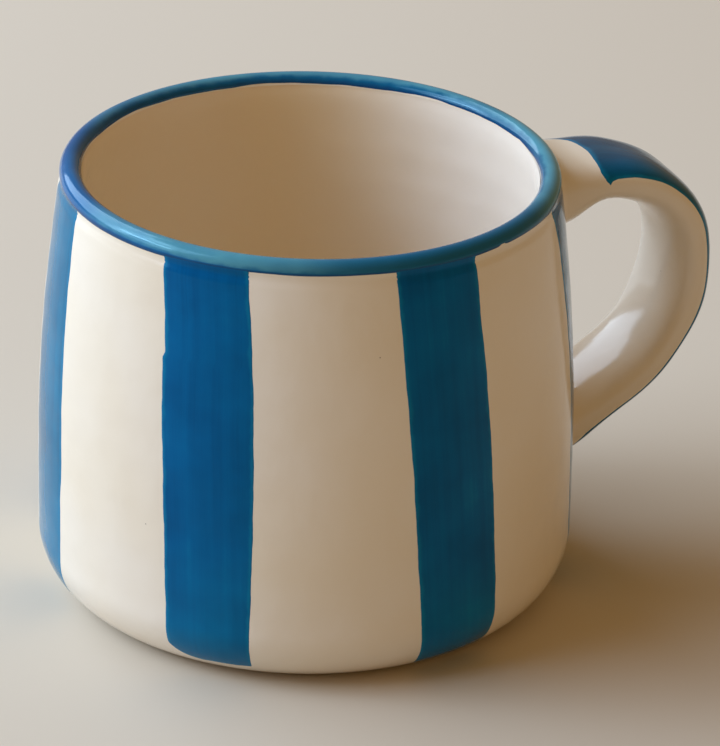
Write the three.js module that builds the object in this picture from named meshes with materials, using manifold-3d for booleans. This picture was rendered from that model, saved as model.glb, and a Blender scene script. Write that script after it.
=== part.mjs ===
// A hand-painted stoneware mug, in millimetres, +Z up, handle along +X.
// The origin is at the bottom centre of the whole mug with its handle, on the surface it stands on.
import * as THREE from "three";
import { mergeVertices } from "three/addons/utils/BufferGeometryUtils.js";
import { LoftGeometry } from "three/addons/geometries/LoftGeometry.js";
import Module from "manifold-3d";

const wasm = await Module();
wasm.setup();

// ---- Driving dimensions ----

const HEIGHT = 77;
const RIM_RADIUS = 42; // outside of the lip
const LIP_RADIUS = 1.75; // half the thickness of the rounded lip
const BELLY_RADIUS = 46.4; // the widest place, low on the wall
const BELLY_HEIGHT = 10.5;
const WALL = 3.9;
const FLOOR_TOP = 6;
const FLOOR_CORNER = 8; // inside radius between floor and wall
const FOOT_RADIUS = 36.8; // outside of the bare ring that the mug stands on
const FOOT_WIDTH = 5;
const FOOT_RECESS = 1.2;
const ROUND_STEPS = 64; // facets round the mug
const LIP_STEPS = 7; // facets over the lip

const SKIN_GAP = 0.1; // paint skins float this far off the clay, clear of its facets
const SKIN = 0.3; // thickness of a painted coat
const GAP = 0.3; // between pieces that meet

const BAND_DROP = 2.8; // how far the rim band comes down outside
const BAND_INSIDE = 1.6; // and inside

const STRIPE_MIDDLES = [-27, -79, -133, -186, -235, -283, -331]; // degrees round from the handle
const STRIPE_SWEEP = 19.6; // degrees of the wall under one stripe
const STRIPE_LEAN = 5; // degrees that a stripe drifts round from top to bottom
const STRIPE_BOTTOM = 3.5; // stripes stop short of the foot
const STRIPE_COLUMNS = 5;

const STRAP_WIDTH = 19.4;
const STRAP_THICKNESS = 8;
const STRAP_SQUARENESS = 2.8; // exponent of the section's superellipse, 2 is an ellipse
const STRAP_STEPS = 32;
const STRAP_SIDES = 20;
const TOP_ROOT_SWELL = 5; // extra thickness where the strap meets the wall
const BOTTOM_ROOT_SWELL = 1.6;
const ROOT_REACH = 6; // how far along the strap the swelling fades
const ROOT_DEPTH = 3; // how far the strap's middle line starts inside the wall
const JOINT_LIP = 1; // extra width of the smoothed slip round each root, at the wall
const JOINT_EDGE = 0.35; // thickness of the slip where it thins out on the strap
const JOINT_REACH = 3.6; // how far the slip comes out along the strap
const ROOT_STRIPE_START = 0.3; // from the slip to the start of the strap's blue stripe
const HANDLE_STRIPE_SWEEP = 1.15; // radians each way round the section
const HANDLE_STRIPE_TAPER = 12; // length over which it widens
const HANDLE_STRIPE_COLUMNS = 8;

const CREAM = 0xe3d9c7;
const BARE_SLIP = 0xddd0bb;
const BLUE = 0x0f619c;

// ---- Materials ----

function glazed(color, roughness) {
  return new THREE.MeshStandardMaterial({ color, roughness, metalness: 0 });
}

// ---- Solids ----

function solidFrom(geometry) {
  const bare = new THREE.BufferGeometry();
  bare.setAttribute("position", geometry.getAttribute("position"));
  bare.setIndex(geometry.index);
  const welded = mergeVertices(bare, 1e-4);
  return new wasm.Manifold(
    new wasm.Mesh({
      numProp: 3,
      vertProperties: welded.attributes.position.array,
      triVerts: new Uint32Array(welded.index.array),
    }),
  );
}

function geometryFrom(solid) {
  const mesh = solid.getMesh();
  const geometry = new THREE.BufferGeometry();
  geometry.setAttribute("position", new THREE.BufferAttribute(mesh.vertProperties, 3));
  geometry.setIndex(new THREE.BufferAttribute(mesh.triVerts, 1));
  geometry.computeVertexNormals();
  return geometry;
}

function turned(profile) {
  const points = profile.map(([radius, height]) => new THREE.Vector2(radius, height));
  return new THREE.LatheGeometry(points, ROUND_STEPS).rotateX(Math.PI / 2);
}

// ---- Outline of the thrown body ----

// Knots of the outside wall from the belly up to the lip: height, radius.
const wallCurve = new THREE.SplineCurve([
  new THREE.Vector2(BELLY_HEIGHT, BELLY_RADIUS),
  new THREE.Vector2(0.33 * HEIGHT, BELLY_RADIUS - 0.2),
  new THREE.Vector2(0.49 * HEIGHT, BELLY_RADIUS - 0.6),
  new THREE.Vector2(0.68 * HEIGHT, BELLY_RADIUS - 1.7),
  new THREE.Vector2(0.86 * HEIGHT, RIM_RADIUS + 1.1),
  new THREE.Vector2(HEIGHT - LIP_RADIUS, RIM_RADIUS),
]);

// A quarter ellipse from the foot out to the belly, then the wall curve up to the lip.
function outsideWall(offset) {
  const cornerSteps = 6;
  const wallSteps = 8;
  const points = [];
  for (let i = 0; i < cornerSteps; i++) {
    const angle = (i / cornerSteps) * (Math.PI / 2);
    const radius = FOOT_RADIUS + (BELLY_RADIUS - FOOT_RADIUS) * Math.sin(angle);
    const height = BELLY_HEIGHT * (1 - Math.cos(angle));
    points.push([radius + offset * Math.sin(angle), height - offset * Math.cos(angle)]);
  }
  for (let i = 0; i <= wallSteps; i++) {
    const knot = wallCurve.getPoint(i / wallSteps);
    points.push([knot.y + offset, knot.x]);
  }
  return points;
}

// Half a turn over the lip, from its outside to its inside.
function overLip(offset, fromAngle, toAngle, steps) {
  const points = [];
  for (let i = 0; i <= steps; i++) {
    const angle = fromAngle + ((toAngle - fromAngle) * i) / steps;
    const reach = LIP_RADIUS + offset;
    points.push([
      RIM_RADIUS - LIP_RADIUS + reach * Math.cos(angle),
      HEIGHT - LIP_RADIUS + reach * Math.sin(angle),
    ]);
  }
  return points;
}

// From the inside of the lip down the wall, round the corner and in to the axis.
function insideWall() {
  const points = [];
  const steps = 5;
  const top = HEIGHT - LIP_RADIUS - 2;
  const bottom = FLOOR_TOP + FLOOR_CORNER;
  const cornerRadius = BELLY_RADIUS - WALL - 0.4 - FLOOR_CORNER;
  for (let i = 0; i <= steps; i++) {
    const height = top + ((bottom - top) * i) / steps;
    points.push([wallRadiusAt(height) - WALL - 0.4 * (i / steps), height]);
  }
  for (let i = 1; i <= 5; i++) {
    const angle = (i / 5) * (Math.PI / 2);
    points.push([
      cornerRadius + FLOOR_CORNER * Math.cos(angle),
      bottom - FLOOR_CORNER * Math.sin(angle),
    ]);
  }
  points.push([0, FLOOR_TOP]);
  return points;
}

function wallRadiusAt(height) {
  const outline = outsideWall(0);
  for (let i = 1; i < outline.length; i++) {
    const [radius, top] = outline[i];
    const [lowRadius, low] = outline[i - 1];
    if (height <= top) {
      return lowRadius + ((radius - lowRadius) * (height - low)) / (top - low);
    }
  }
  return RIM_RADIUS;
}

function makeBody() {
  const ringInside = FOOT_RADIUS - FOOT_WIDTH;
  const profile = [
    [0, FOOT_RECESS],
    [ringInside - FOOT_RECESS, FOOT_RECESS],
    [ringInside, 0],
    ...outsideWall(0),
    ...overLip(0, 0, Math.PI, LIP_STEPS).slice(1),
    ...insideWall(),
  ];
  return turned(profile);
}

// The space that the body fills with its hollow closed, grown by the joint gap.
function makeBodyCutter() {
  const filled = [[0, -GAP], ...outsideWall(GAP), [0, HEIGHT - LIP_RADIUS]];
  return solidFrom(turned(filled)).add(solidFrom(turned(bandProfile(GAP))));
}

// ---- Painted coats on the body ----

// The band over the lip, grown on every side by an offset.
function bandProfile(grown) {
  const foot = HEIGHT - BAND_DROP - grown;
  const insideEnd = Math.PI + (BAND_INSIDE + grown - LIP_RADIUS) / LIP_RADIUS;
  const under = SKIN_GAP - grown;
  const over = SKIN_GAP + SKIN + grown;
  const footRadius = wallRadiusAt(foot);
  return [
    [footRadius + over, foot],
    ...overLip(over, 0, insideEnd, LIP_STEPS),
    ...overLip(under, 0, insideEnd, LIP_STEPS).reverse(),
    [footRadius + under, foot],
    [footRadius + over, foot],
  ];
}

// The levels of a stripe, each with the inside and the outside of its coat: [radius, height].
function stripeLevels() {
  const top = HEIGHT - BAND_DROP - GAP;
  const inside = outsideWall(SKIN_GAP);
  const outside = outsideWall(SKIN_GAP + SKIN);
  const levels = inside.map((point, index) => [point, outside[index]]);
  const covered = levels.filter(([point]) => point[1] > STRIPE_BOTTOM && point[1] < top - 1);
  const radius = wallRadiusAt(top) + SKIN_GAP;
  return [...covered, [[radius, top], [radius + SKIN, top]]];
}

// One brushed stripe: each level is a thin arc, its outside first and its inside back again.
function makeStripe(middle) {
  const half = THREE.MathUtils.degToRad(STRIPE_SWEEP / 2);
  const sections = stripeLevels().map(([inside, outside]) => {
    const lean = THREE.MathUtils.degToRad(STRIPE_LEAN) * (0.5 - inside[1] / HEIGHT);
    const angleOf = (column) => middle + lean + half * ((2 * column) / STRIPE_COLUMNS - 1);
    const section = [];
    for (let column = 0; column <= STRIPE_COLUMNS; column++) {
      section.push(onCircle(outside, angleOf(column)));
    }
    for (let column = STRIPE_COLUMNS; column >= 0; column--) {
      section.push(onCircle(inside, angleOf(column)));
    }
    return section;
  });
  return new LoftGeometry(sections, { capStart: true, capEnd: true });
}

function onCircle([radius, height], angle) {
  return new THREE.Vector3(radius * Math.cos(angle), radius * Math.sin(angle), height);
}

// ---- Handle ----

// Middle line of the strap in the XZ plane, from inside the wall at the top to the bottom.
const strapPath = new THREE.CatmullRomCurve3(
  [
    [RIM_RADIUS - 1.8, 65.9],
    [52.2, 67.8],
    [62.3, 64.9],
    [68.2, 57.2],
    [68.6, 45.4],
    [62.9, 34.2],
    [53.8, 26.4],
    [BELLY_RADIUS - ROOT_DEPTH, 19.2],
  ].map(([x, z]) => new THREE.Vector3(x, 0, z)),
);
const strapLength = strapPath.getLength();

// Both roots swell: full at the wall, fading out along the strap.
function swellAt(distance) {
  const fromTop = Math.max(0, distance - ROOT_DEPTH);
  const fromBottom = Math.max(0, strapLength - ROOT_DEPTH - distance);
  const top = TOP_ROOT_SWELL * Math.exp(-((fromTop / ROOT_REACH) ** 2));
  const bottom = BOTTOM_ROOT_SWELL * Math.exp(-((fromBottom / ROOT_REACH) ** 2));
  return top + bottom;
}

function rounded(value) {
  return Math.sign(value) * Math.abs(value) ** (2 / STRAP_SQUARENESS);
}

// A point on the strap: a distance along it, an angle round its section, grown by an offset.
// The angle is 0 on the side towards +Y and a quarter turn on the outside of the loop.
function strapPoint(distance, angle, offset) {
  const along = THREE.MathUtils.clamp(distance / strapLength, 0, 1);
  const tangent = strapPath.getTangentAt(along);
  const outward = new THREE.Vector3(-tangent.z, 0, tangent.x);
  const halfThick = (STRAP_THICKNESS + swellAt(distance)) / 2 + offset;
  const across = rounded(Math.cos(angle)) * (STRAP_WIDTH / 2 + offset);
  return strapPath
    .getPointAt(along)
    .addScaledVector(outward, rounded(Math.sin(angle)) * halfThick)
    .add(new THREE.Vector3(0, across, 0));
}

function strapBetween(from, to, steps, offsetAt) {
  const sections = [];
  for (let step = 0; step <= steps; step++) {
    const distance = from + ((to - from) * step) / steps;
    const section = [];
    for (let side = 0; side < STRAP_SIDES; side++) {
      const angle = (side / STRAP_SIDES) * 2 * Math.PI;
      section.push(strapPoint(distance, angle, offsetAt(step / steps)));
    }
    sections.push(section);
  }
  return new LoftGeometry(sections, { capStart: true, capEnd: true });
}

function makeHandle(bodyCutter) {
  const strap = solidFrom(strapBetween(0, strapLength, STRAP_STEPS, () => 0));
  return geometryFrom(strap.subtract(bodyCutter));
}

// The smoothed bead of slip round a root: wide at the wall, thin where it ends on the strap.
function makeSlipJoint(bodyCutter, atTop) {
  const reach = ROOT_DEPTH + JOINT_REACH;
  const from = atTop ? 0 : strapLength - reach;
  const flare = (t) => GAP + JOINT_EDGE + JOINT_LIP * (atTop ? 1 - t : t) ** 2;
  const bead = solidFrom(strapBetween(from, from + reach, 6, flare));
  const strap = solidFrom(strapBetween(from - 1, from + reach + 1, 8, () => GAP));
  return geometryFrom(bead.subtract(strap).subtract(bodyCutter));
}

// The blue stripe down the outside of the loop, a thin coat that starts narrow at the top.
function makeHandleStripe() {
  const start = ROOT_DEPTH + JOINT_REACH + GAP + ROOT_STRIPE_START;
  const end = strapLength - start;
  const sections = [];
  for (let step = 0; step <= STRAP_STEPS; step++) {
    const distance = start + ((end - start) * step) / STRAP_STEPS;
    const widening = Math.min(1, 0.25 + (distance - start) / HANDLE_STRIPE_TAPER);
    const half = HANDLE_STRIPE_SWEEP * widening;
    const angleOf = (column) => Math.PI / 2 + half * (1 - (2 * column) / HANDLE_STRIPE_COLUMNS);
    const section = [];
    for (let column = 0; column <= HANDLE_STRIPE_COLUMNS; column++) {
      section.push(strapPoint(distance, angleOf(column), GAP));
    }
    for (let column = HANDLE_STRIPE_COLUMNS; column >= 0; column--) {
      section.push(strapPoint(distance, angleOf(column), GAP + SKIN));
    }
    sections.push(section);
  }
  return new LoftGeometry(sections, { capStart: true, capEnd: true });
}

// ---- Assembly ----

const cream = glazed(CREAM, 0.18);
const slip = glazed(BARE_SLIP, 0.25);
const blue = glazed(BLUE, 0.16);
const mug = new THREE.Group();

function place(name, geometry, material) {
  const mesh = new THREE.Mesh(geometry, material);
  mesh.name = name;
  mug.add(mesh);
}

const bodyCutter = makeBodyCutter();
place("body", makeBody(), cream);
place("handle", makeHandle(bodyCutter), cream);
place("upper_slip_joint", makeSlipJoint(bodyCutter, true), slip);
place("lower_slip_joint", makeSlipJoint(bodyCutter, false), slip);
place("rim_band", turned(bandProfile(0)), blue);
place("handle_stripe", makeHandleStripe(), blue);
STRIPE_MIDDLES.forEach((degrees, index) => {
  place(`stripe_${index + 1}`, makeStripe(THREE.MathUtils.degToRad(degrees)), blue);
});

// The mug's axis lies behind the origin, so that the origin is in the middle of its footprint.
const footprint = new THREE.Box3().setFromObject(mug);
mug.position.x = -(footprint.min.x + footprint.max.x) / 2;

export default mug;
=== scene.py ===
"""A hand-painted stoneware mug: cream glaze, blue rim band, blue brushed stripes, strap handle.

Everything is in metres: +Z up, handle along +X, standing on z = 0.
Surfaces are grids of points worked out from a few sizes, then given procedural glazes.
"""

import math

import bpy
import numpy as np
from mathutils import Matrix, Vector


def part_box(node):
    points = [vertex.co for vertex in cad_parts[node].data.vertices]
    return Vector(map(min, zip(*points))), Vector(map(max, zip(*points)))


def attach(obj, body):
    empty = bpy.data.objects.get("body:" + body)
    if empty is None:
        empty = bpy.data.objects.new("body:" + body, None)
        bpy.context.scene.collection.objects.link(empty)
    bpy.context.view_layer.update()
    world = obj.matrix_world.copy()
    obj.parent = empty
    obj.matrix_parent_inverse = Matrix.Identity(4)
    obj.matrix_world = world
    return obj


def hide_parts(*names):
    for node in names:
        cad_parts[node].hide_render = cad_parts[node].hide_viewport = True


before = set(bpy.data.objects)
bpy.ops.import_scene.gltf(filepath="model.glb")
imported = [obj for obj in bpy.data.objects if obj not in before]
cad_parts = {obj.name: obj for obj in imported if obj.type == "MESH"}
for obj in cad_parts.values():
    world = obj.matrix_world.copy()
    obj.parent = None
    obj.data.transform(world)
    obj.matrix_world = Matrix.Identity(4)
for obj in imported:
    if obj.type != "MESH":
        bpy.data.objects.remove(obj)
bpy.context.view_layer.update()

MM = 0.001


# ---------------------------------------------------------------- sizes, from the frame

body_low, body_high = (Vector(corner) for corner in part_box("body"))
AXIS_X = (body_low.x + body_high.x) / 2
BELLY_RADIUS = (body_high.y - body_low.y) / 2
BELLY_HEIGHT = 10.5 * MM
HEIGHT = 77 * MM
LIP_RADIUS = 1.75 * MM
RIM_RADIUS = BELLY_RADIUS - 4.4 * MM
WALL = 3.9 * MM
FLOOR_TOP = 6 * MM
FLOOR_CORNER = 8 * MM
FOOT_RADIUS = 36.8 * MM
FOOT_WIDTH = 5 * MM
FOOT_RECESS = 1.2 * MM
NECK_DEPTH = 0.30 * MM  # faint hollow thrown just under the lip
NECK_HEIGHT = HEIGHT - 3.0 * MM
NECK_REACH = 0.85 * MM

LIP_DIP = 1.2 * MM  # how much lower the hand-made lip sits on one side
LIP_DIP_MIDDLE = -95  # degrees round from the handle
LIP_DIP_ROOT = 65 * MM  # height where the wall starts to follow the dip
LIP_DIP_FULL = 74 * MM
LIP_DIP_SHARPNESS = 1.25

# How a thrown wall wanders: depth, lobes round the mug, phase, and twist per metre of height
UNEVENNESS = [(0.10 * MM, 2, 0.7, 20), (0.06 * MM, 3, 2.1, -55)]
RING_DEPTH = 0.012 * MM  # the throwing rings outside
RING_SPACING = 7.3 * MM
INSIDE_RING_DEPTH = 0.015 * MM
INSIDE_RING_SPACING = 6 * MM
INSIDE_RING_FADE = 10 * MM  # below the lip, over which they begin
INSIDE_BLEND = 6 * MM  # below the lip, over which the inside leaves its curve
INSIDE_TAPER = 0.4 * MM  # how much thicker the wall is at its foot
FLOOR_DISH = 0.5 * MM
FLOOR_RING_DEPTH = 0.05 * MM
FLOOR_RINGS = 9

BAND_DROP = 2.95 * MM
BAND_INSIDE = 1.5 * MM
NICK_PLACE = 296  # degrees round from the handle to a small gap in the band's lower edge
NICK_WIDTH = 0.9
NICK_DEPTH = 0.4 * MM
PAINT = 0.055 * MM  # how far the painted coats stand off the clay
BAND_PAINT = 0.085 * MM  # the band goes over the tops of the stripes
PAINT_EDGE = 0.5 * MM  # how wide their feathered edge is
PAINT_SUNK = 0.012 * MM  # how far a coat's very edge starts under the surface
BAND_WAVER = 0.12 * MM  # of the band's lower edge
BAND_WAVE = 2.4  # in twelfths of the way round
BAND_SEED = 77
BAND_INSIDE_WAVER = 0.16 * MM  # of its edge inside
BAND_INSIDE_WAVE = 1.7
BAND_INSIDE_SEED = 78
BAND_NARROWING = 0.75  # how much of the lip's dip the band makes up for by being narrower

STRIPE_MIDDLES = [-27, -79, -133, -186, -235, -283, -331]  # degrees round from the handle
STRIPE_SWEEP = 19.2  # degrees
STRIPE_LEAN = 5.0  # degrees of drift from top to bottom
# The edges of some strokes, as height in millimetres and degrees round from the handle
STRIPE_LEFT_EDGES = {
    1: [(2, -30.5), (30, -32), (47, -33.8), (57, -36), (66, -37.6), (75, -40.5)],
    2: [(2, -86), (14, -87.1), (27, -88.4), (39, -89.4), (50, -90.5), (62, -91.6), (75, -92.7)],
    3: [(3, -141.1), (13, -141.2), (26, -141.8), (37, -142.4), (49, -143.4), (57.2, -143.9)]
    + [(58.2, -143.3), (60, -143.6), (64, -144.1), (72, -145.3), (75, -145.7)],
}
STRIPE_RIGHT_EDGES = {
    2: [(2, -67.6), (7, -67.7), (16, -68), (28, -69.1), (41, -70.1), (53, -71)]
    + [(64, -72), (75, -72.4)],
    3: [(3, -122.8), (11, -122.7), (23, -122.4), (35, -122.3), (46, -122.6), (54, -123)]
    + [(61, -123.6), (75, -125.2)],
    4: [(3, -174.7), (22, -174.9), (30, -174.3), (38, -175), (50, -175.7), (61, -176.5)]
    + [(75, -177)],
}
# How low each stroke ends, and how much its left and right corners lift, in millimetres
STRIPE_ENDS = [(2.2, 1, 2), (1.2, 0.6, 0.6), (3.2, 2.8, 0.4), (2.6, 1.5, 2)]
STRIPE_ENDS += [(2.4, 2.5, 0.8), (1.9, 1, 2.2), (2.8, 2, 1)]
STRIPE_CORNER = 9  # how sharply those corners turn
STROKE_WIDTH = 16 * MM  # roughly, for spacing the points across a stroke
WAVER_SWEEP = 0.35  # degrees an even stroke's edges wander
WAVER_EDGE = 0.06 * MM  # how far the bristles leave every edge uneven
WAVER_END = 0.12 * MM
SWEEP_WAVE = 70  # millimetres between those wanderings
EDGE_WAVE = 11
END_WAVE = 0.7  # in widths of the stroke
SWEEP_SEED = 400
EDGE_SEED = 500
END_SEED = 300

STRAP_WIDTH = 19.4 * MM
STRAP_THICKNESS = 8 * MM
STRAP_SQUARENESS = 2.8  # of the outside of the loop
STRAP_INSIDE_SQUARENESS = 2.3
TOP_ROOT_SWELL = 5 * MM
BOTTOM_ROOT_SWELL = 1.6 * MM
ROOT_REACH = 6 * MM
ROOT_DEPTH = 3 * MM
TOP_FILLET = 1.6 * MM  # radius of the smoothed slip where the strap meets the wall
BOTTOM_FILLET = 0.9 * MM
PINCH = 0.5 * MM  # how much the strap is pinched thin underneath, just past its upper root
PINCH_PLACE = 12 * MM
PINCH_REACH = 11 * MM
STRAP_PATH = [  # distance from the mug's axis, height
    (RIM_RADIUS - 1.8 * MM, 65.5 * MM),
    (52.2 * MM, 67.8 * MM),
    (62.5 * MM, 64.8 * MM),
    (68.7 * MM, 57.0 * MM),
    (69.1 * MM, 45.4 * MM),
    (63.7 * MM, 34.4 * MM),
    (54.4 * MM, 26.9 * MM),
    (BELLY_RADIUS - ROOT_DEPTH, 20.6 * MM),
]

# How finely the surfaces are divided, round or across them and along them
WALL_COLUMNS, WALL_ROWS = 320, 110
HEEL_ROWS = 26  # the curve from the foot to the belly
LIP_ROWS = 15
INSIDE_COLUMNS, INSIDE_ROWS = 256, 80
CORNER_ROWS = 18
FLOOR_ROWS = 40
FOOT_ROWS = 6
STROKE_COLUMNS, STROKE_ROWS = 30, 240
BAND_COLUMNS, BAND_ROWS = 721, 8
BAND_LIP_ROWS = 26
STRAP_COLUMNS, STRAP_ROWS = 96, 200
FILLET_ROWS = 14
PAINT_COLUMNS, PAINT_ROWS = 40, 300
WALL_POINTS = 200  # in the tables of the wall's outline and the strap's path and roots
PATH_POINTS = 1200
ROOT_ANGLES, ROOT_DISTANCES = 181, 1500

# ---------------------------------------------------------------- small maths

RIPPLE_PEAK = 1.6  # about what its octaves add up to


def ripple(position, wavelength, seed, octaves=4):
    """A smooth random curve between about -1 and 1, the same on every run."""
    random = np.random.default_rng(seed)
    total = np.zeros_like(np.asarray(position, dtype=float))
    for octave in range(octaves):
        phase, stretch = random.uniform(0, 2 * np.pi), random.uniform(0.8, 1.25)
        turns = 2**octave * stretch / wavelength
        total += np.sin(2 * np.pi * turns * position + phase) / 2**octave
    return total / RIPPLE_PEAK


def catmull_rom(knots, fraction):
    """Points on the uniform Catmull-Rom curve through the knots, at fractions from 0 to 1."""
    knots = np.asarray(knots, dtype=float)
    before = 2 * knots[0] - knots[1]
    after = 2 * knots[-1] - knots[-2]
    padded = np.vstack([before, knots, after])
    place = np.clip(np.asarray(fraction), 0, 1) * (len(knots) - 1)
    index = np.minimum(place.astype(int), len(knots) - 2)
    t = (place - index)[..., None]
    p0, p1, p2, p3 = (padded[index + shift] for shift in range(4))
    return 0.5 * (
        2 * p1 + (p2 - p0) * t + (2 * p0 - 5 * p1 + 4 * p2 - p3) * t**2
        + (3 * p1 - p0 - 3 * p2 + p3) * t**3
    )


def smooth_step(value):
    value = np.clip(value, 0, 1)
    return value * value * (3 - 2 * value)


# ---------------------------------------------------------------- outline of the body

WALL_OUTLINE = [  # height, outside radius
    (BELLY_HEIGHT, BELLY_RADIUS),
    (0.33 * HEIGHT, BELLY_RADIUS - 0.2 * MM),
    (0.49 * HEIGHT, BELLY_RADIUS - 0.6 * MM),
    (0.68 * HEIGHT, BELLY_RADIUS - 1.7 * MM),
    (0.86 * HEIGHT, RIM_RADIUS + 1.1 * MM),
    (HEIGHT - LIP_RADIUS, RIM_RADIUS),
]
wall_knots = catmull_rom(WALL_OUTLINE, np.linspace(0, 1, WALL_POINTS))


def wall_radius(height, azimuth=0.0):
    """Outside radius of the clay at a height, with the slight unevenness of a thrown pot."""
    height = np.asarray(height, dtype=float)
    corner = np.clip(1 - height / BELLY_HEIGHT, 0, 1)
    below = FOOT_RADIUS + (BELLY_RADIUS - FOOT_RADIUS) * np.sqrt(1 - corner**2)
    above = np.interp(height, wall_knots[:, 0], wall_knots[:, 1])
    neck = NECK_DEPTH * np.exp(-(((height - NECK_HEIGHT) / NECK_REACH) ** 2))
    uneven = 0
    for depth, lobes, phase, twist in UNEVENNESS:
        uneven = uneven + depth * np.sin(lobes * azimuth + phase + twist * height)
    rings = RING_DEPTH * np.sin(2 * np.pi * height / RING_SPACING + 0.5 * np.sin(azimuth))
    fade = smooth_step(height / BELLY_HEIGHT)
    return np.where(height < BELLY_HEIGHT, below, above) - neck + (uneven + rings) * fade


def lip_dip(azimuth):
    """How far the lip dips below its full height, by place round the rim."""
    nearness = 0.5 + 0.5 * np.cos(azimuth - math.radians(LIP_DIP_MIDDLE))
    return LIP_DIP * nearness**LIP_DIP_SHARPNESS


def on_mug(radius, azimuth, height):
    """Turn radius, azimuth and height into points in the frame, with the dip in the lip."""
    height = np.asarray(height, float)
    follow = smooth_step((height - LIP_DIP_ROOT) / (LIP_DIP_FULL - LIP_DIP_ROOT))
    dipped = height - lip_dip(azimuth) * follow
    x, y = AXIS_X + radius * np.cos(azimuth), radius * np.sin(azimuth)
    return np.stack(np.broadcast_arrays(x, y, dipped), axis=-1)


# ---------------------------------------------------------------- meshes from grids


def grid_normals(points, wrap_columns):
    """Unit normals of a grid of points, outward where rows climb and columns go anticlockwise."""
    rows = np.gradient(points, axis=0)
    if wrap_columns:
        padded = np.concatenate([points[:, -1:], points, points[:, :1]], axis=1)
        columns = (padded[:, 2:] - padded[:, :-2]) / 2
    else:
        columns = np.gradient(points, axis=1)
    normals = np.cross(columns, rows)
    length = np.linalg.norm(normals, axis=-1, keepdims=True)
    return normals / np.maximum(length, 1e-12)


def grid_faces(rows, columns, wrap_columns):
    index = np.arange(rows * columns).reshape(rows, columns)
    right = np.roll(index, -1, axis=1)
    if not wrap_columns:
        index, right = index[:, :-1], right[:, :-1]
    quads = np.stack([index[:-1], right[:-1], right[1:], index[1:]], axis=-1)
    return quads.reshape(-1, 4)


def make_piece(name, points, material, slot, nodes, wrap=False, flow=None, normals=None):
    """A smooth mesh object from a grid of points, which rides on the mug's one body."""
    rows, columns = points.shape[:2]
    mesh = bpy.data.meshes.new(name)
    faces = grid_faces(rows, columns, wrap)
    mesh.from_pydata(points.reshape(-1, 3).tolist(), [], faces.tolist())
    if flow is not None:
        attribute = mesh.attributes.new("flow", "FLOAT_VECTOR", "POINT")
        attribute.data.foreach_set("vector", np.ascontiguousarray(flow, dtype=np.float32).ravel())
    mesh.polygons.foreach_set("use_smooth", np.ones(len(mesh.polygons), dtype=bool))
    mesh.materials.append(material)
    mesh.update()
    if normals is not None:
        mesh.normals_split_custom_set_from_vertices(normals.reshape(-1, 3).tolist())
    piece = bpy.data.objects.new(name, mesh)
    bpy.context.scene.collection.objects.link(piece)
    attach(piece, "root")
    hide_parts(*nodes)
    return piece


# ---------------------------------------------------------------- glazes


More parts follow.
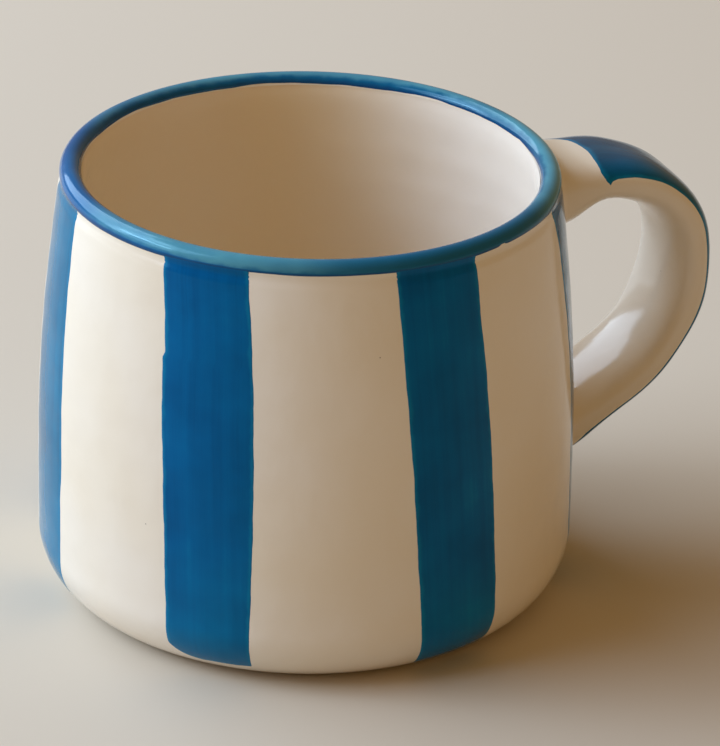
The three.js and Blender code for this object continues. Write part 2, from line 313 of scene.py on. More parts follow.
class Glaze:
    """A short way to write a material's node tree."""

    def __init__(self, name):
        self.material = bpy.data.materials.new(name)
        self.material.use_nodes = True
        self.nodes = self.material.node_tree.nodes
        self.links = self.material.node_tree.links
        self.shader = self.nodes["Principled BSDF"]

    def node(self, kind, settings=(), **inputs):
        made = self.nodes.new(kind)
        for key, value in dict(settings).items():
            setattr(made, key, value)
        for key, value in inputs.items():
            self.feed(made.inputs[key.replace("_", " ")], value)
        return made

    def feed(self, socket, value):
        if isinstance(value, bpy.types.NodeSocket):
            self.links.new(value, socket)
        else:
            socket.default_value = value

    def math(self, operation, first, second=0.0, clamp=False):
        made = self.nodes.new("ShaderNodeMath")
        made.operation = operation
        made.use_clamp = clamp
        self.feed(made.inputs[0], first)
        self.feed(made.inputs[1], second)
        return made.outputs[0]

    def flow(self):
        """Across, along and to the nearest edge, in millimetres, as the painter's brush went."""
        attribute = self.node("ShaderNodeAttribute", {"attribute_name": "flow"})
        return self.node("ShaderNodeSeparateXYZ", Vector=attribute.outputs["Vector"]).outputs

    def place(self, across, along, depth=0.0):
        return self.node("ShaderNodeCombineXYZ", X=across, Y=along, Z=depth).outputs[0]

    def position_mm(self):
        """The point's place in the frame, in millimetres."""
        coordinates = self.node("ShaderNodeTexCoord")
        scaled = self.node("ShaderNodeVectorMath", {"operation": "SCALE"})
        self.feed(scaled.inputs[0], coordinates.outputs["Object"])
        self.feed(scaled.inputs["Scale"], 1 / MM)
        return scaled.outputs[0]

    def noise(self, vector, scale, detail=3.0, roughness=0.5):
        made = self.node(
            "ShaderNodeTexNoise", Vector=vector, Scale=scale, Detail=detail, Roughness=roughness
        )
        return made.outputs["Fac"]

    def ramp(self, factor, low, high, from_value=0.0, to_value=1.0):
        """Remap a value between two limits onto two others, held at both ends."""
        made = self.nodes.new("ShaderNodeMapRange")
        self.feed(made.inputs["Value"], factor)
        made.inputs["From Min"].default_value = low
        made.inputs["From Max"].default_value = high
        made.inputs["To Min"].default_value = from_value
        made.inputs["To Max"].default_value = to_value
        made.interpolation_type = "SMOOTHSTEP"
        return made.outputs["Result"]

    def table(self, value, knots):
        """Look a value up in a table of (place, result) knots, joined by smooth curves."""
        low, high = knots[0][0], knots[-1][0]
        made = self.nodes.new("ShaderNodeValToRGB")
        made.color_ramp.interpolation = "EASE"
        elements = made.color_ramp.elements
        elements.remove(elements[1])
        for place, result in knots:
            share = (place - low) / (high - low)
            element = elements[0] if place == low else elements.new(share)
            element.position = share
            element.color = (result, result, result, 1)
        past_low = self.math("SUBTRACT", value, low)
        self.feed(made.inputs["Fac"], self.math("DIVIDE", past_low, high - low))
        return self.node("ShaderNodeSeparateColor", Color=made.outputs["Color"]).outputs[0]

    def mix(self, factor, first, second):
        made = self.nodes.new("ShaderNodeMix")
        made.data_type = "RGBA"
        self.feed(made.inputs["Factor"], factor)
        self.feed(made.inputs["A"], first)
        self.feed(made.inputs["B"], second)
        return made.outputs["Result"]

    def specks(self, vector, spacing, size, share):
        """Small round specks: spacing and size in millimetres, and the share of cells with one."""
        cells = self.node("ShaderNodeTexVoronoi", Vector=vector, Scale=1 / spacing)
        near = self.ramp(cells.outputs["Distance"], 0.4 * size / spacing, size / spacing, 1.0, 0.0)
        chosen = self.node("ShaderNodeSeparateColor", Color=cells.outputs["Color"]).outputs[0]
        return self.math("MULTIPLY", near, self.math("LESS_THAN", chosen, share))

    def bumps(self, *layers):
        """Stack bump layers, each a height and a depth in millimetres."""
        normal = None
        for height, depth in layers:
            made = self.node("ShaderNodeBump", Height=height, Strength=1.0, Distance=depth * MM)
            if normal is not None:
                self.links.new(normal, made.inputs["Normal"])
            normal = made.outputs["Normal"]
        self.links.new(normal, self.shader.inputs["Normal"])


SWELL_SCALE = 0.09  # patterns per millimetre, as all the scales below
SWELL_DEPTH = 0.25  # millimetres
PEEL_SCALE = 0.55
PEEL_DEPTH = 0.02
GLOSS_SCALE = 0.25
GLOSS_RANGE = (0.8, 1.3)  # how the roughness varies from place to place


def glaze_surface(glaze, position, roughness, ior):
    """What every glazed place shares: the soft waviness, fine orange peel and varying gloss."""
    swell = glaze.noise(position, SWELL_SCALE, detail=2.0)
    peel = glaze.noise(position, PEEL_SCALE, detail=3.0)
    glaze.bumps((swell, SWELL_DEPTH), (peel, PEEL_DEPTH))
    glossiest, dullest = (roughness * factor for factor in GLOSS_RANGE)
    gloss = glaze.ramp(glaze.noise(position, GLOSS_SCALE), 0.3, 0.7, glossiest, dullest)
    glaze.feed(glaze.shader.inputs["Roughness"], gloss)
    glaze.shader.inputs["IOR"].default_value = ior


CREAM_PALE = (0.820, 0.750, 0.640, 1)
CREAM_WARM = (0.795, 0.700, 0.548, 1)
INSIDE_PALE = (0.835, 0.765, 0.670, 1)
INSIDE_SHADED_WARM = (0.795, 0.630, 0.395, 1)  # painted shade: the inside's darker, warmer side away from the handle, where the light doesn't reach; also the warm end of its faint clouds
PAINTED_SHADE_SPAN = (-6, 24)  # millimetres along X over which the inside's painted shade fades, palest towards the handle, where the light falls inside
SPECK_BROWN = (0.16, 0.10, 0.06, 1)
BLUE_POOLED = (0.000, 0.052, 0.165, 1)  # where the paint gathered along the edges of the band
BLUE_DEEP = (0.000, 0.075, 0.225, 1)
BLUE_MID = (0.000, 0.113, 0.305, 1)
BLUE_THIN = (0.005, 0.200, 0.370, 1)
BLUE_WORN = (0.250, 0.420, 0.520, 1)
BLUE_CREST_SHEEN = (0.085, 0.300, 0.375, 1)  # where the glaze runs thin over the lip, with a painted highlight: the pale sheen where the lip catches the light
BLUE_GLOSS = (0.25, 0.85, 1.0, 1)  # light seen through the coloured glass of the glaze
RIM_GLOSS = (0.55, 0.92, 1.0, 1)
# painted shade: the band's tealer blue where it lies in warm shade, round the handle's side
RIM_SHADE_TEAL = (0.000, 0.100, 0.180, 1)
THIN_SHEEN_STRIPES = [4]  # painted thinner and greener, partly a painted sheen: stroke 4 faces the light, and its paler, greener blue stands in for the glaze's sheen there
THIN_SHEEN_DEEP = (0.000, 0.110, 0.220, 1)
THIN_SHEEN_MID = (0.000, 0.160, 0.300, 1)
# the strap's blues, darker and tealer than the stripes': partly painted shade, as the handle lies on
# the side away from the light
STRAP_SHADED_DEEP = (0.000, 0.062, 0.140, 1)
STRAP_SHADED_MID = (0.000, 0.098, 0.200, 1)
# How thin the paint runs over the lip, with its painted highlight, from 0 to 1, by millimetres round
# it from the handle
CREST_SHEEN_AROUND = [(0, 0.9), (14, 0.7), (50, 0.9), (92, 0.5), (107, 0.05), (134, 0.05), (146, 0.75)]
CREST_SHEEN_AROUND += [(166, 0.95), (178, 0.7), (189, 0.15), (200, 0.03), (226, 0.03), (236, 0.6)]
CREST_SHEEN_AROUND += [(246, 1.0), (266, 0.9)]
# How far its blue turns to teal, a painted shade for the warm shade on the handle's side, the same
# way round
SHADE_TEAL_AROUND = [(0, 0.9), (50, 0.5), (100, 0.0), (160, 0.0), (190, 0.7), (266, 0.9)]
CLAY_LIGHT = (0.560, 0.450, 0.330, 1)
CLAY_DARK = (0.400, 0.300, 0.200, 1)

GLAZE_ROUGHNESS = 0.13
INSIDE_ROUGHNESS = 0.2
CREAM_IOR = 1.5
BLUE_IOR = 1.33
RIM_IOR = 1.42
CLOUD_SCALE = 0.03
CLOUD_SHARE = 0.1  # of the clouds in the inside's tone, beside its painted shade across
HAZE_SCALE = 0.5
HAZE_MOST = 0.10
SPECK_CELLS = (6.5, 0.16, 0.16)  # the iron specks' spacing and size in millimetres, and share
SPECK_STRENGTH = 0.75
PINHOLE_CELLS = (3.6, 0.13, 0.12)
PINHOLE_STRENGTH = 0.8
GRIT_CELLS = (2.2, 0.3, 0.3)
GRIT_STRENGTH = 0.6
GRIT_DEPTH = 0.05
GRAIN_SCALE = 1.4
GRAIN_DEPTH = 0.12
CLAY_ROUGHNESS = (0.72, 0.9)
# Brush marks: scale across the stroke, how slowly they change along it, part in the load
STREAKS = (0.6, 0.022, 0.32)
HAIRS = (3.0, 0.012, 0.13)
PATCHES = (0.075, 1, 0.55)
DEEP_TO_MID = (0.34, 0.66)  # loads of paint between which the blue lightens
MID_TO_THIN = (0.56, 0.74)
THIN_MOST = 0.5
RAGGED_SCALE = 0.35
RAGGED_REACH = 1.1  # millimetres the thin edge wanders into a stroke
STROKE_EDGE = (-0.3, 0.35)  # millimetres over which a stroke's edge thickens
STROKE_EDGE_THIN = 0.55
POOL_EDGE = (-0.4, 0.6)  # the same for the paint pooled along the band's edges
POOL_MOST = 0.95
CREST_EDGE = (0.4, 1.4)
CREST_RUN_SCALE = 0.12
CREST_RUN = (0.7, 1.0)
FOOT_PALING_HEIGHTS = (4, 28)  # millimetres up the mug over which the paint's pale patches fade out: lighter towards the foot
FOOT_PALING_MOST = 0.7
RIM_COLOR_SEED = 3.0
STRIPE_COLOR_SEED = 10.0  # times the stripe's number
STRAP_COLOR_SEED = 91.0
HAIR_SHIFT = 9  # added to a seed, so that one kind of mark doesn't copy another
PATCH_SHIFT = 20
RAGGED_SHIFT = 40


def cream_glaze(name, pale=CREAM_PALE, warm=CREAM_WARM, roughness=GLAZE_ROUGHNESS, painted_shade=False):
    """Cream over stoneware, in soft clouds. With painted shade, it is darker and warmer away from
    the handle and palest on the handle's side.
    """
    glaze = Glaze(name)
    position = glaze.position_mm()
    cloud = glaze.ramp(glaze.noise(position, CLOUD_SCALE, detail=2.0), 0.30, 0.70)
    if painted_shade:
        # painted shade: the inside is darker and warmer on its side away from the handle
        across = glaze.node("ShaderNodeSeparateXYZ", Vector=position).outputs["X"]
        side = glaze.ramp(across, *PAINTED_SHADE_SPAN, 1.0, 0.0)
        side = glaze.math("MULTIPLY", side, 1 - CLOUD_SHARE)
        cloud = glaze.math("ADD", side, glaze.math("MULTIPLY", cloud, CLOUD_SHARE))
    color = glaze.mix(cloud, pale, warm)
    haze = glaze.ramp(glaze.noise(position, HAZE_SCALE, detail=5.0), 0.50, 0.80, 0.0, HAZE_MOST)
    color = glaze.mix(haze, color, CREAM_WARM)
    specks = glaze.specks(position, *SPECK_CELLS)
    color = glaze.mix(glaze.math("MULTIPLY", specks, SPECK_STRENGTH), color, SPECK_BROWN)
    glaze.feed(glaze.shader.inputs["Base Color"], color)
    glaze_surface(glaze, position, roughness, CREAM_IOR)
    return glaze.material


def brush_marks(glaze, across, along, marks, seed, detail):
    """One kind of brush mark: its pattern, and its part in how heavily the paint lies."""
    scale, stretch, share = marks
    if stretch != 1:
        along = glaze.math("MULTIPLY", along, stretch)
    pattern = glaze.noise(glaze.place(across, along, seed), scale, detail)
    return pattern, glaze.math("MULTIPLY", pattern, share)


def crest_colors(glaze, color, along, edge, position):
    """The band's blue: teal in painted shade, pooled along its edges, and run thin over the lip with
    a painted highlight.
    """
    color = glaze.mix(glaze.table(along, SHADE_TEAL_AROUND), color, RIM_SHADE_TEAL)
    color = glaze.mix(glaze.ramp(edge, *POOL_EDGE, POOL_MOST, 0.0), color, BLUE_POOLED)
    # painted highlight, partly thin paint: the band pales over the lip where it catches the light
    run = glaze.ramp(glaze.noise(position, CREST_RUN_SCALE, 3.0), 0.35, 0.65, *CREST_RUN)
    run = glaze.math("MULTIPLY", run, glaze.table(along, CREST_SHEEN_AROUND))
    thin = glaze.math("MULTIPLY", glaze.ramp(edge, *CREST_EDGE), run)
    return glaze.mix(thin, color, BLUE_CREST_SHEEN)


def blue_paint(name, seed, crest=False, ior=BLUE_IOR, gloss=BLUE_GLOSS, blues=(BLUE_DEEP, BLUE_MID)):
    """Brushed underglaze: long streaks, thin edges, patches of thick and thin, pale pinholes."""
    glaze = Glaze(name)
    position = glaze.position_mm()
    across, along, edge = glaze.flow()
    _, streak_load = brush_marks(glaze, across, along, STREAKS, seed, 4.0)
    _, hair_load = brush_marks(glaze, across, along, HAIRS, seed + HAIR_SHIFT, 2.0)
    patches, patch_load = brush_marks(glaze, across, along, PATCHES, seed + PATCH_SHIFT, 3.0)
    load = glaze.math("ADD", glaze.math("ADD", streak_load, hair_load), patch_load)
    color = glaze.mix(glaze.ramp(load, *DEEP_TO_MID), *blues)
    color = glaze.mix(glaze.ramp(load, *MID_TO_THIN, 0.0, THIN_MOST), color, BLUE_THIN)
    ragged = glaze.noise(glaze.place(across, along, seed + RAGGED_SHIFT), RAGGED_SCALE, 4.0)
    edge = glaze.math("ADD", edge, glaze.math("MULTIPLY", ragged, -RAGGED_REACH))
    if crest:
        color = crest_colors(glaze, color, along, edge, position)
    else:
        color = glaze.mix(glaze.ramp(edge, *STROKE_EDGE, STROKE_EDGE_THIN, 0.0), color, BLUE_THIN)
    height = glaze.node("ShaderNodeSeparateXYZ", Vector=position).outputs["Z"]
    # the paint is lighter in patches towards the foot
    foot_paling = glaze.math("MULTIPLY", glaze.ramp(height, *FOOT_PALING_HEIGHTS, FOOT_PALING_MOST, 0.0), patches)
    color = glaze.mix(foot_paling, color, BLUE_THIN)
    pinholes = glaze.specks(position, *PINHOLE_CELLS)
    color = glaze.mix(glaze.math("MULTIPLY", pinholes, PINHOLE_STRENGTH), color, BLUE_WORN)
    glaze.feed(glaze.shader.inputs["Base Color"], color)
    glaze_surface(glaze, position, GLAZE_ROUGHNESS, ior)
    glaze.shader.inputs["Specular Tint"].default_value = gloss
    return glaze.material


def bare_clay(name):
    glaze = Glaze(name)
    position = glaze.position_mm()
    grain = glaze.noise(position, GRAIN_SCALE, detail=6.0, roughness=0.65)
    color = glaze.mix(glaze.ramp(grain, 0.35, 0.7), CLAY_LIGHT, CLAY_DARK)
    grit = glaze.specks(position, *GRIT_CELLS)
    color = glaze.mix(glaze.math("MULTIPLY", grit, GRIT_STRENGTH), color, SPECK_BROWN)
    glaze.feed(glaze.shader.inputs["Base Color"], color)
    glaze.feed(glaze.shader.inputs["Roughness"], glaze.ramp(grain, 0.3, 0.7, *CLAY_ROUGHNESS))
    glaze.bumps((grain, GRAIN_DEPTH), (grit, GRIT_DEPTH))
    return glaze.material


# ---------------------------------------------------------------- body


def around(steps):
    return np.linspace(0, 2 * np.pi, steps, endpoint=False)


def make_clay_wall(material):
    """The outside of the wall, from the edge of the foot up and over to the top of the lip."""
    azimuth = around(WALL_COLUMNS)
    heel = np.linspace(0, np.pi / 2, HEEL_ROWS)[:-1]
    low = BELLY_HEIGHT * (1 - np.cos(heel))
    high = np.linspace(BELLY_HEIGHT, HEIGHT - LIP_RADIUS, WALL_ROWS)
    height = np.concatenate([low, high])[:, None]
    wall = on_mug(wall_radius(height, azimuth), azimuth, height)
    over = np.linspace(0, np.pi, LIP_ROWS)[1:, None]
    lip_centre = wall_radius(HEIGHT - LIP_RADIUS, azimuth) - LIP_RADIUS
    over_height = HEIGHT - LIP_RADIUS + LIP_RADIUS * np.sin(over)
    lip = on_mug(lip_centre + LIP_RADIUS * np.cos(over), azimuth, over_height)
    make_piece("clay_wall", np.vstack([wall, lip]), material, "cream_glaze", ["body"], wrap=True)


def inside_profile():
    """From the inside of the lip down the wall, round the corner and over the floor."""
    top = HEIGHT - LIP_RADIUS
    bottom = FLOOR_TOP + FLOOR_CORNER
    down = np.linspace(0, 1, INSIDE_ROWS)
    height = top + (bottom - top) * down
    lip_inside = RIM_RADIUS - 2 * LIP_RADIUS
    radius = wall_radius(height) - WALL - INSIDE_TAPER * down
    blend = smooth_step((top - height) / INSIDE_BLEND)
    radius = lip_inside + (radius - lip_inside) * blend
    wall = np.stack([radius, height], axis=1)
    corner_centre = radius[-1] - FLOOR_CORNER
    turn = np.linspace(0, np.pi / 2, CORNER_ROWS)[1:]
    corner_radius = corner_centre + FLOOR_CORNER * np.cos(turn)
    corner = np.stack([corner_radius, bottom - FLOOR_CORNER * np.sin(turn)], axis=1)
    across = np.linspace(1, 0.002, FLOOR_ROWS)[1:]
    dish = FLOOR_DISH * np.cos(across * np.pi / 2)
    dish = dish - FLOOR_RING_DEPTH * np.cos(across * np.pi * FLOOR_RINGS)
    floor = np.stack([corner_centre * across, FLOOR_TOP - dish * (1 - across)], axis=1)
    return np.vstack([wall, corner, floor])


def make_inside(material):
    profile = inside_profile()
    azimuth = around(INSIDE_COLUMNS)
    radius, height = profile[:, :1], profile[:, 1:]
    turns = height / INSIDE_RING_SPACING
    rings = INSIDE_RING_DEPTH * np.sin(2 * np.pi * turns + 2 * np.sin(azimuth))
    depth = smooth_step((HEIGHT - LIP_RADIUS - height) / INSIDE_RING_FADE)
    points = on_mug(radius + rings * depth, azimuth, height + 0 * azimuth)
    make_piece("inside_glaze", points, material, "cream_glaze", ["body"], wrap=True)


def make_foot(material):
    """The bare ring that the mug stands on, and the shallow recess inside it."""
    inner = FOOT_RADIUS - FOOT_WIDTH
    outline = [  # radius, height
        (0.1 * MM, FOOT_RECESS),
        (inner * 0.5, FOOT_RECESS + 0.1 * MM),
        (inner - FOOT_RECESS, FOOT_RECESS),
        (inner - 0.5 * MM, 0.25 * MM),
        (inner, 0.04 * MM),
        (inner + 0.5 * MM, 0.0),
        (FOOT_RADIUS - 0.6 * MM, 0.0),
        (FOOT_RADIUS, 0.0),
    ]
    spans = zip(outline, outline[1:])
    profile = [np.linspace(start, end, FOOT_ROWS, endpoint=False) for start, end in spans]
    profile = np.vstack(profile + [outline[-1:]])
    azimuth = around(INSIDE_COLUMNS)
    points = on_mug(profile[:, :1] + 0 * azimuth, azimuth, profile[:, 1:] + 0 * azimuth)
    make_piece("foot_ring", points, material, "cream_glaze", ["body"], wrap=True)


# ---------------------------------------------------------------- paint on the body


def edge_spacing(width, count):
    """Fractions from 0 to 1 that crowd together at both ends, over the feathered edges."""
    feather = PAINT_EDGE / width
    ends = feather * np.array([0, 0.12, 0.3, 0.6, 1.0])
    middle = np.linspace(feather, 1 - feather, count)
    return np.concatenate([ends[:-1], middle, 1 - ends[:-1][::-1]])


def paint_height(edge_mm, thickness=PAINT):
    """A coat's height above the clay by distance from its edge, where it starts just under."""
    rise = 1 - np.exp(-3 * np.clip(edge_mm * MM / PAINT_EDGE, 0, 4))
    return thickness * rise - PAINT_SUNK


def stripe_edge(number, side, height):
    """Azimuth of a stripe's left (-1) or right (1) edge by height: a drawn edge or an even one."""
    drawn = (STRIPE_LEFT_EDGES if side < 0 else STRIPE_RIGHT_EDGES).get(number)
    seed = 9 * number + side
    if drawn:
        degrees = np.interp(height / MM, *zip(*drawn))
    else:
        lean = STRIPE_LEAN * (0.5 - height / HEIGHT)
        degrees = STRIPE_MIDDLES[number - 1] + side * STRIPE_SWEEP / 2 + lean
        wander = ripple(height / MM, SWEEP_WAVE, SWEEP_SEED + seed, octaves=3)
        degrees = degrees + WAVER_SWEEP * wander
    bristles = WAVER_EDGE / RIM_RADIUS * ripple(height / MM, EDGE_WAVE, EDGE_SEED + seed)
    return np.radians(degrees) + bristles


def make_stripe(number, material):
    """One brushed stroke from under the band to the foot, with a rounded and a sharper corner."""
    end, left_lift, right_lift = (size * MM for size in STRIPE_ENDS[number - 1])
    across = edge_spacing(STROKE_WIDTH, STROKE_COLUMNS)[None, :]
    along = np.linspace(0, 1, STROKE_ROWS)[:, None]
    lift = left_lift * (1 - across) ** STRIPE_CORNER + right_lift * across**STRIPE_CORNER
    bottom = end + lift + WAVER_END * ripple(across, END_WAVE, END_SEED + number)
    height = bottom + (HEIGHT - LIP_RADIUS - bottom) * along
    left, right = stripe_edge(number, -1, height), stripe_edge(number, 1, height)
    azimuth = left + (right - left) * across
    radius = wall_radius(height, azimuth)
    width_mm = (right - left) * radius / MM
    from_left = across * width_mm
    from_side = np.minimum(from_left, width_mm - from_left)
    edge = np.minimum(from_side, (height - bottom) / MM)
    points = on_mug(radius, azimuth, height)
    points = points + grid_normals(points, False) * paint_height(edge)[..., None]
    flow = np.stack(np.broadcast_arrays(from_left, height / MM, edge), axis=-1)
    name, node = f"brush_stripe_{number}", f"stripe_{number}"
    make_piece(name, points, material, "blue_paint", [node], flow=flow)


def make_rim_band(material):
    """Blue over the lip: up the outside from a hand-painted lower edge, over and a little way in."""
    azimuth = np.linspace(0, 2 * np.pi, BAND_COLUMNS)  # starts and ends over the handle
    hours = azimuth / (2 * np.pi) * 12  # round the rim as round a clock
    foot = HEIGHT - BAND_DROP + BAND_NARROWING * lip_dip(azimuth)
    foot = foot + BAND_WAVER * ripple(hours, BAND_WAVE, BAND_SEED)
    from_nick = (np.degrees(azimuth) - NICK_PLACE) / NICK_WIDTH
    foot = foot + NICK_DEPTH * np.exp(-(from_nick**2))
    waver = BAND_INSIDE_WAVER * ripple(hours, BAND_INSIDE_WAVE, BAND_INSIDE_SEED)
    inside_end = HEIGHT - BAND_INSIDE + waver
    climb = edge_spacing(BAND_DROP, BAND_ROWS)[: BAND_ROWS + 1]
    climb = climb / climb[-1]
    low_height = foot + (HEIGHT - LIP_RADIUS - foot) * climb[:, None]
    low = on_mug(wall_radius(low_height, azimuth), azimuth, low_height)
    lip_centre = wall_radius(HEIGHT - LIP_RADIUS, azimuth) - LIP_RADIUS
    sine = np.clip((inside_end - (HEIGHT - LIP_RADIUS)) / LIP_RADIUS, -0.9, 0.9)
    last_turn = np.pi - np.arcsin(sine)
    turn = np.linspace(0, 1, BAND_LIP_ROWS)[1:, None] * last_turn
    lip_height = HEIGHT - LIP_RADIUS + LIP_RADIUS * np.sin(turn)
    lip = on_mug(lip_centre + LIP_RADIUS * np.cos(turn), azimuth, lip_height)
    points = np.vstack([low, lip])
    over_lip = BAND_DROP - LIP_RADIUS + LIP_RADIUS * turn
    from_foot = np.concatenate([low_height - foot, over_lip]) / MM
    from_end = from_foot[-1:] - from_foot
    edge = np.minimum(from_foot, from_end)
    lengths = azimuth * RIM_RADIUS / MM
    flow = np.stack(np.broadcast_arrays(from_foot, lengths[None, :], edge), axis=-1)
    points = points + grid_normals(points, False) * paint_height(edge, BAND_PAINT)[..., None]
    make_piece("rim_paint", points, material, "blue_paint", ["rim_band"], flow=flow)


# ---------------------------------------------------------------- strap handle

path_points = catmull_rom(STRAP_PATH, np.linspace(0, 1, PATH_POINTS))
path_steps = np.linalg.norm(np.diff(path_points, axis=0), axis=1)
path_distance = np.concatenate([[0], np.cumsum(path_steps)])
STRAP_LENGTH = path_distance[-1]
path_tangents = np.gradient(path_points, path_distance, axis=0)
path_tangents /= np.linalg.norm(path_tangents, axis=1, keepdims=True)


def along_path(values, distance):
    return np.stack([np.interp(distance, path_distance, column) for column in values.T], axis=-1)


def squarish(value, squareness):
    return np.sign(value) * np.abs(value) ** (2 / squareness)


def strap_point(distance, angle, offset):
    """A point on the strap, where angle 0 faces +Y and a quarter turn faces out of the loop."""
    centre = along_path(path_points, distance)
    tangent = along_path(path_tangents, distance)
    from_top = np.maximum(0, distance - ROOT_DEPTH)
    from_bottom = np.maximum(0, STRAP_LENGTH - ROOT_DEPTH - distance)
    swell = TOP_ROOT_SWELL * np.exp(-((from_top / ROOT_REACH) ** 2))
    swell = swell + BOTTOM_ROOT_SWELL * np.exp(-((from_bottom / ROOT_REACH) ** 2))
    inside = np.sin(angle) < 0
    pinch = PINCH * np.exp(-(((distance - PINCH_PLACE) / PINCH_REACH) ** 2)) * inside
    squareness = np.where(inside, STRAP_INSIDE_SQUARENESS, STRAP_SQUARENESS)
    out = squarish(np.sin(angle), squareness) * ((STRAP_THICKNESS + swell) / 2 - pinch + offset)
    across = squarish(np.cos(angle), squareness) * (STRAP_WIDTH / 2 + offset)
    x = AXIS_X + centre[..., 0] - tangent[..., 1] * out
    z = centre[..., 1] + tangent[..., 0] * out
    return np.stack(np.broadcast_arrays(x, across, z), axis=-1)


def wall_gap(points):
    """How far points stand off the outside of the mug's wall."""
    x, y, z = points[..., 0] - AXIS_X, points[..., 1], points[..., 2]
    return np.hypot(x, y) - wall_radius(z, np.arctan2(y, x))


def root_tables():
    """For each angle round the strap, the distances at which it leaves the wall and the fillet."""
    angles = np.linspace(0, 2 * np.pi, ROOT_ANGLES)
    distances = np.linspace(0, STRAP_LENGTH, ROOT_DISTANCES)
    gap = wall_gap(strap_point(distances[:, None], angles[None, :], 0))
    middle = len(distances) // 2
    tables = []
    for off_top, off_bottom in ((0.0, 0.0), (TOP_FILLET, BOTTOM_FILLET)):
        top = distances[np.argmax(gap[:middle] > off_top, axis=0)]
        bottom = distances[::-1][np.argmax(gap[::-1][:middle] > off_bottom, axis=0)]
        tables.append((top, bottom))
    return angles, tables


root_angles, ((wall_top, wall_bottom), (clear_top, clear_bottom)) = root_tables()
FILLET_SHARE = 0.08  # share of the strap's rows in each fillet
ROOT_SUNK = 0.03 * MM  # how far the fillets' outer edges go under the wall


def strap_surface(share, angle):
    """The strap with a fillet at each root. share runs from the wall at the top to the bottom."""
    share, angle = np.broadcast_arrays(share, angle)
    turn = np.mod(angle, 2 * np.pi)
    on_top = np.interp(turn, root_angles, wall_top)
    off_top = np.interp(turn, root_angles, clear_top)
    on_bottom = np.interp(turn, root_angles, wall_bottom)
    off_bottom = np.interp(turn, root_angles, clear_bottom)
    main = np.clip((share - FILLET_SHARE) / (1 - 2 * FILLET_SHARE), 0, 1)
    rise_top = np.clip(share / FILLET_SHARE, 0, 1) * np.pi / 2
    rise_bottom = np.clip((1 - share) / FILLET_SHARE, 0, 1) * np.pi / 2
    rise = np.minimum(rise_top, rise_bottom)
    away = 1 - np.cos(rise)  # 0 on the wall, 1 where the fillet ends
    fillet = np.where(share < 0.5, TOP_FILLET, BOTTOM_FILLET)
    flare = fillet * (1 - np.sin(rise))
    top_distance = on_top + (off_top - on_top) * away
    bottom_distance = on_bottom + (off_bottom - on_bottom) * away
    distance = off_top + (off_bottom - off_top) * main
    distance = np.where(share < FILLET_SHARE, top_distance, distance)
    distance = np.where(share > 1 - FILLET_SHARE, bottom_distance, distance)
    points = strap_point(distance, angle, flare)
    in_fillet = rise < np.pi / 2 - 1e-6
    gap = wall_gap(points)
    wanted = fillet * away - ROOT_SUNK * (away < 1e-6)
    shift = np.where(in_fillet, wanted - gap, 0) * (1 - smooth_step(away))
    radial = np.stack([points[..., 0] - AXIS_X, points[..., 1], 0 * gap], axis=-1)
    radial /= np.linalg.norm(radial, axis=-1, keepdims=True)
    return points + radial * shift[..., None]


def hand_pulled(points):
    """The slight unevenness that fingers leave along a pulled strap."""
    x, y, z = (points[..., i] / MM for i in range(3))
    wave = 0.10 * np.sin(0.33 * z + 0.21 * x + 0.5) + 0.07 * np.sin(0.52 * x - 0.3 * y + 1.1)
    return wave * MM * smooth_step(wall_gap(points) / ROOT_REACH)


def make_strap(material):
    upper = np.linspace(0, FILLET_SHARE, FILLET_ROWS)[:-1]
    middle = np.linspace(FILLET_SHARE, 1 - FILLET_SHARE, STRAP_ROWS)
    lower = np.linspace(1 - FILLET_SHARE, 1, FILLET_ROWS)[1:]
    rows = np.concatenate([upper, middle, lower])
    angles = around(STRAP_COLUMNS)
    points = strap_surface(rows[:, None], angles[None, :])
    normals = grid_normals(points, True)
    if np.mean((normals * (points - points.mean(axis=1, keepdims=True))).sum(axis=-1)) < 0:
        normals = -normals
    points = points + normals * hand_pulled(points)[..., None]
    first, last = FILLET_ROWS - 1, FILLET_ROWS + STRAP_ROWS - 2  # the rows where fillets end
    parts = {
        "upper_root": (slice(0, first + 1), "upper_slip_joint"),
        "strap": (slice(first, last + 1), "handle"),
        "lower_root": (slice(last, None), "lower_slip_joint"),
    }
    for name, (part, node) in parts.items():
        kept = {"wrap": True, "normals": normals[part]}
        make_piece(name, points[part], material, "cream_glaze", [node], **kept)


# Where the paint starts, in millimetres along the strap, by degrees round it towards -Y
PAINT_START = [(-66, 4.0), (-45, 7.8), (-30, 10.0), (-16, 11.0), (4, 11.6), (23, 11.6)]
PAINT_START += [(56, 12.1), (74, 12.9), (86, 13.9)]
# How far the paint wraps round towards -Y and +Y, in degrees, by millimetres past its start
PAINT_NEAR_EDGE = [(0, 84), (0.8, 77), (2, 72), (5, 68), (9, 66), (12, 65), (18, 66), (24, 71)]
PAINT_NEAR_EDGE += [(34, 73), (99, 73)]
PAINT_FAR_EDGE = [(0, 64), (10, 60), (22, 56), (99, 55)]
PAINT_FIRST = 11  # millimetres along the strap that those two tables count from
PAINT_END = 0.93  # share of the strap's length
PAINT_END_ROUNDING = 0.05
PAINT_WAVER = 1.2  # degrees
PAINT_WAVE = 24  # millimetres
PAINT_NEAR_SEED = 601
PAINT_FAR_SEED = 602
PAINT_STEADY = 8  # millimetres before the edges start to wander
PAINT_WIDTH = 18 * MM  # roughly, for spacing the points across and along it
PAINT_RUN = 65 * MM


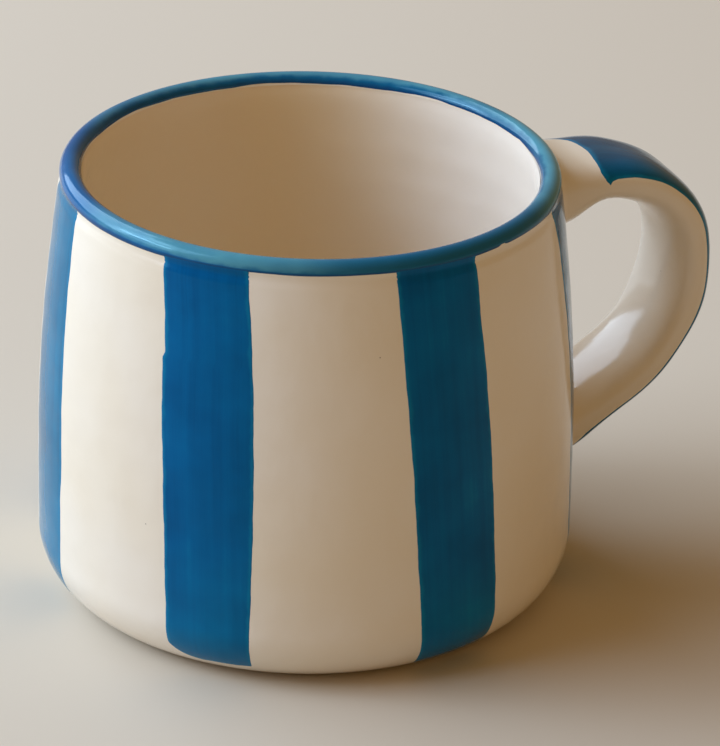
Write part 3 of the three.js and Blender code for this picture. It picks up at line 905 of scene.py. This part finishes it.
def make_strap_paint(material):
    """Blue down the outside of the loop, cut off slantwise where the brush was set down."""
    column = edge_spacing(PAINT_WIDTH, PAINT_COLUMNS)[None, :]
    run = edge_spacing(PAINT_RUN, PAINT_ROWS)[:, None]
    whole = STRAP_LENGTH / MM
    past_start = run * (PAINT_END * whole - PAINT_FIRST)
    near = np.interp(past_start, *zip(*PAINT_NEAR_EDGE))
    far = np.interp(past_start, *zip(*PAINT_FAR_EDGE))
    steady = smooth_step(past_start / PAINT_STEADY)
    near = near + PAINT_WAVER * ripple(past_start, PAINT_WAVE, PAINT_NEAR_SEED) * steady
    far = far + PAINT_WAVER * ripple(past_start, PAINT_WAVE, PAINT_FAR_SEED) * steady
    wrap = near * column - far * (1 - column)
    start = np.interp(wrap, *zip(*PAINT_START))
    end = PAINT_END - PAINT_END_ROUNDING * np.abs(wrap / near) ** 4
    share = (start + (end * whole - start) * run) / whole
    angle = np.pi / 2 + np.radians(wrap)
    points = strap_surface(share, angle)
    normals = grid_normals(points, False)
    middle = strap_surface(share, np.full_like(share, -np.pi / 2))
    if np.mean((normals * (points - middle)).sum(axis=-1)) < 0:
        normals = -normals
    steps = np.linalg.norm(np.diff(points, axis=1), axis=-1)
    from_far = np.concatenate([np.zeros((len(run), 1)), np.cumsum(steps, axis=1)], axis=1) / MM
    from_near = from_far[:, -1:] - from_far
    from_start, from_end = share * whole - start, (end - share) * whole
    edge = np.minimum(np.minimum(from_far, from_near), np.minimum(from_start, from_end))
    lift = hand_pulled(points) + paint_height(edge)
    flow = np.stack(np.broadcast_arrays(from_far, share * whole, edge), axis=-1)
    points = points + normals * lift[..., None]
    make_piece("strap_paint", points, material, "blue_paint", ["handle_stripe"], flow=flow)


# ---------------------------------------------------------------- stage, light, camera

CAMERA_AZIMUTH = -22.88
CAMERA_ELEVATION = 25.37
CAMERA_DISTANCE = 0.6549
CAMERA_ROLL = 1.47
CAMERA_LENS = 190.2
CAMERA_SENSOR = 36
CAMERA_NEAREST = 0.01
AIM_OFFSET = Vector((8.39 * MM, -3.54 * MM, 37.3 * MM))  # from the foot of the mug's axis

# Name, azimuth, elevation, distance, size, power and colour
LIGHTS = [
    ("window", -103, 32, 1.8, (1.2, 1.7), 23.5, (0.58, 0.75, 1.0)),
    ("bright_sky", -104, 32, 1.8, (0.85, 0.25), 7.5, (0.60, 0.77, 1.0)),
    ("window_behind", -141, 34, 1.4, (1.6, 1.2), 26.0, (0.64, 0.80, 1.0)),
]
FLOOR_REACH = 3.0
FLOOR_COLOR = (0.60, 0.53, 0.425, 1)
FLOOR_ROUGHNESS = 0.9
WORLD_COLOR = (0.400, 0.250, 0.108, 1)
WORLD_STRENGTH = 0.86


def direction(azimuth, elevation):
    """The way out from the mug, where azimuth 0 is -Y and a positive one turns towards +X."""
    turn, tilt = math.radians(azimuth), math.radians(elevation)
    level = math.cos(tilt)
    return Vector((math.sin(turn) * level, -math.cos(turn) * level, math.sin(tilt)))


def make_camera():
    back = direction(CAMERA_AZIMUTH, CAMERA_ELEVATION)
    aim = Vector((AXIS_X, 0, 0)) + AIM_OFFSET
    azimuth = math.radians(CAMERA_AZIMUTH)
    level_right = Vector((math.cos(azimuth), math.sin(azimuth), 0))
    level_up = back.cross(level_right)
    roll = math.radians(CAMERA_ROLL)
    right = level_right * math.cos(roll) + level_up * math.sin(roll)
    up = back.cross(right)
    data = bpy.data.cameras.new("camera")
    data.lens = CAMERA_LENS
    data.sensor_fit = "HORIZONTAL"
    data.sensor_width = CAMERA_SENSOR
    data.clip_start = CAMERA_NEAREST
    camera = bpy.data.objects.new("camera", data)
    turn = Matrix((right, up, back)).transposed().to_4x4()
    camera.matrix_world = Matrix.Translation(aim + back * CAMERA_DISTANCE) @ turn
    bpy.context.scene.collection.objects.link(camera)
    bpy.context.scene.camera = camera


def make_light(name, azimuth, elevation, distance, size, power, color):
    """A soft rectangular light aimed at the mug."""
    back = direction(azimuth, elevation)
    data = bpy.data.lights.new(name, "AREA")
    data.shape = "RECTANGLE"
    data.size, data.size_y = size
    data.energy = power
    data.color = color
    light = bpy.data.objects.new(name, data)
    light.location = Vector((AXIS_X, 0, HEIGHT / 2)) + back * distance
    light.rotation_euler = back.to_track_quat("Z", "Y").to_euler()
    bpy.context.scene.collection.objects.link(light)


def make_floor():
    floor = bpy.data.meshes.new("floor")
    reach = FLOOR_REACH
    corners = [(-reach, -reach, 0), (reach, -reach, 0), (reach, reach, 0), (-reach, reach, 0)]
    floor.from_pydata(corners, [], [(0, 1, 2, 3)])
    surface = bpy.data.materials.new("floor_paper")
    surface.use_nodes = True
    shader = surface.node_tree.nodes["Principled BSDF"]
    shader.inputs["Base Color"].default_value = FLOOR_COLOR
    shader.inputs["Roughness"].default_value = FLOOR_ROUGHNESS
    floor.materials.append(surface)
    stage = bpy.data.objects.new("floor", floor)
    bpy.context.scene.collection.objects.link(stage)


def make_world():
    world = bpy.context.scene.world or bpy.data.worlds.new("world")
    bpy.context.scene.world = world
    world.use_nodes = True
    background = world.node_tree.nodes["Background"]
    background.inputs["Color"].default_value = WORLD_COLOR
    background.inputs["Strength"].default_value = WORLD_STRENGTH
    bpy.context.scene.view_settings.view_transform = "Standard"


make_camera()
make_floor()
make_world()
for light_values in LIGHTS:
    make_light(*light_values)

cream = cream_glaze("cream_glaze_outside")
cream_inside = cream_glaze(
    "cream_glaze_inside", INSIDE_PALE, INSIDE_SHADED_WARM, INSIDE_ROUGHNESS, painted_shade=True
)
cream_strap = cream_glaze("cream_glaze_strap")
make_clay_wall(cream)
make_inside(cream_inside)
make_foot(bare_clay("bare_clay_foot"))
make_rim_band(blue_paint("blue_rim", RIM_COLOR_SEED, crest=True, ior=RIM_IOR, gloss=RIM_GLOSS))
for stripe_number in range(1, len(STRIPE_MIDDLES) + 1):
    stripe_blues = (THIN_SHEEN_DEEP, THIN_SHEEN_MID) if stripe_number in THIN_SHEEN_STRIPES else (BLUE_DEEP, BLUE_MID)
    stripe_seed = STRIPE_COLOR_SEED * stripe_number
    stripe_paint = blue_paint(f"blue_stripe_{stripe_number}", stripe_seed, blues=stripe_blues)
    make_stripe(stripe_number, stripe_paint)
make_strap(cream_strap)
make_strap_paint(blue_paint("blue_strap", STRAP_COLOR_SEED, blues=(STRAP_SHADED_DEEP, STRAP_SHADED_MID)))
